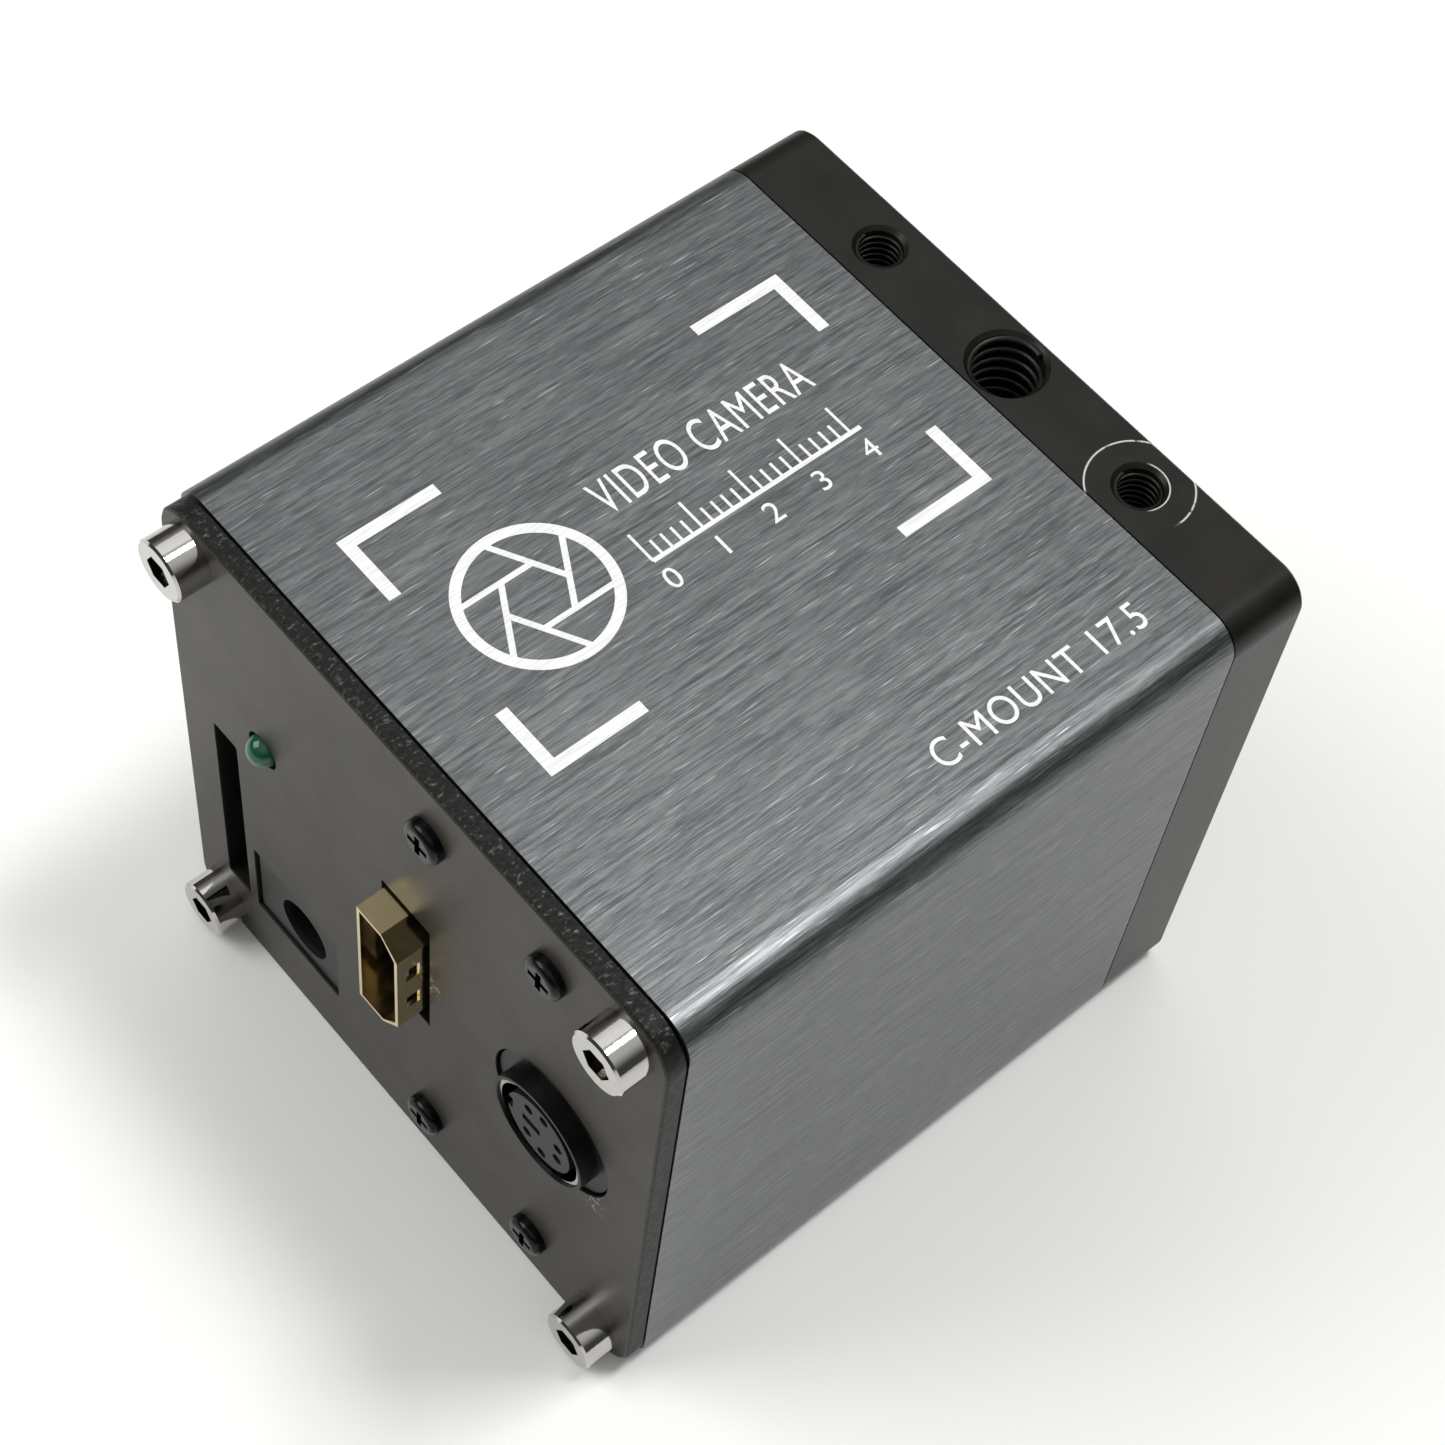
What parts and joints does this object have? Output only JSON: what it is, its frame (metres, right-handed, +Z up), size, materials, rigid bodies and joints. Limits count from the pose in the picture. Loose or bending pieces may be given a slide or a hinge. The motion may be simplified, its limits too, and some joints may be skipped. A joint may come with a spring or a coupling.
{
  "type": "c-mount video camera",
  "caption": "Cube-shaped aluminium video camera with a C-mount lens ring, tripod thread, card slot, power jack, digital video socket and mini-DIN control socket.",
  "frame": {"origin": "middle of the footprint on the bottom face of the case", "axes": "+Z up, out of the face with the tripod thread; +Y out of the lens mount; the rear plate with the sockets faces -Y"},
  "size_m": [0.06, 0.068, 0.06],
  "materials": {
    "housing_anodised": "long brushed lines, blue-grey anodised",
    "plate_anodised": "satin dark grey anodised",
    "block_anodised": "satin bronze-black anodised",
    "ring_anodised": "satin black anodised, turned",
    "bright_nickel": "bright nickel plate",
    "black_steel": "black oxide, glossy",
    "bare_aluminium": "machined",
    "board_green": "solder mask over glass-epoxy board",
    "board_black": "black solder mask",
    "black_plastic": "moulded, fine matt",
    "grey_plastic": "moulded dark grey",
    "white_plastic": "moulded natural white",
    "spring_steel": "stamped stainless",
    "contact_gold": "gold flash on copper alloy",
    "shell_brass": "dull brassy plate",
    "lamp_green": "tinted clear epoxy",
    "gasket_rubber": "cut sheet rubber",
    "filter_glass": "coated infrared-blocking glass",
    "clear_glass": "clear cover glass",
    "ceramic": "fired ceramic",
    "silicon": "polished die with iridescent tint",
    "chip_black": "moulded epoxy",
    "pad_grey": "soft silicone sheet",
    "sink_black": "black anodised extrusion",
    "ferrite": "pressed ferrite",
    "capacitor_can": "drawn can",
    "flex_film": "polyimide film"
  },
  "bodies": {
    "camera_body": {"housing": "housing_anodised", "rear_plate": "plate_anodised", "front_block": "block_anodised", "cap_screws": "bright_nickel", "front_screws": "black_steel", "pan_screws": "black_steel", "lower_rail": "bare_aluminium", "upper_rail": "bare_aluminium", "main_board": "board_green", "control_board": "board_green", "power_board": "board_green", "sensor_board": "board_black", "card_base": "black_plastic", "card_cover": "spring_steel", "card_contacts": "contact_gold", "slider_spring": "spring_steel", "jack_body": "grey_plastic", "jack_pin": "bright_nickel", "jack_spring": "spring_steel", "status_lamp": "lamp_green", "lamp_legs": "spring_steel", "video_shell": "shell_brass", "video_tongue": "black_plastic", "video_contacts": "contact_gold", "din_body": "black_plastic", "din_ring": "bright_nickel", "din_insulator": "grey_plastic", "din_contacts": "contact_gold", "sensor_standoffs": "bright_nickel", "sensor_screws": "black_steel", "image_sensor": "ceramic", "sensor_die": "silicon", "sensor_glass": "clear_glass", "processor": "chip_black", "thermal_pad": "pad_grey", "heat_sink": "sink_black", "memory_chips": "chip_black", "control_chip": "chip_black", "board_header": "black_plastic", "inductor": "ferrite", "capacitors": "capacitor_can", "flex_sockets": "white_plastic", "sensor_flex": "flex_film", "power_flex": "flex_film"},
    "c_mount_ring": {"c_mount_ring": "ring_anodised", "filter_gasket": "gasket_rubber", "filter_glass": "filter_glass", "filter_retainer": "ring_anodised"},
    "lock_ring": {"lock_ring": "ring_anodised"},
    "card_slider": {"card_slider": "white_plastic"}
  },
  "joints": [
    {"name": "card_slide", "type": "slide", "parent": "camera_body", "child": "card_slider", "axis": [0, 1, 0], "range_m": [0, 0.0045], "stiffness_N_per_m": 150, "springref_m": -0.003, "deforming": ["slider_spring"]},
    {"name": "back_focus_turn", "type": "hinge", "parent": "camera_body", "child": "c_mount_ring", "pos_m": [0, 0.029, 0.03], "axis": [0, 1, 0], "range_deg": [-90, 90]},
    {"name": "lock_turn", "type": "hinge", "parent": "camera_body", "child": "lock_ring", "pos_m": [0, 0.0318, 0.03], "axis": [0, 1, 0], "range_deg": [0, 90]}
  ]
}
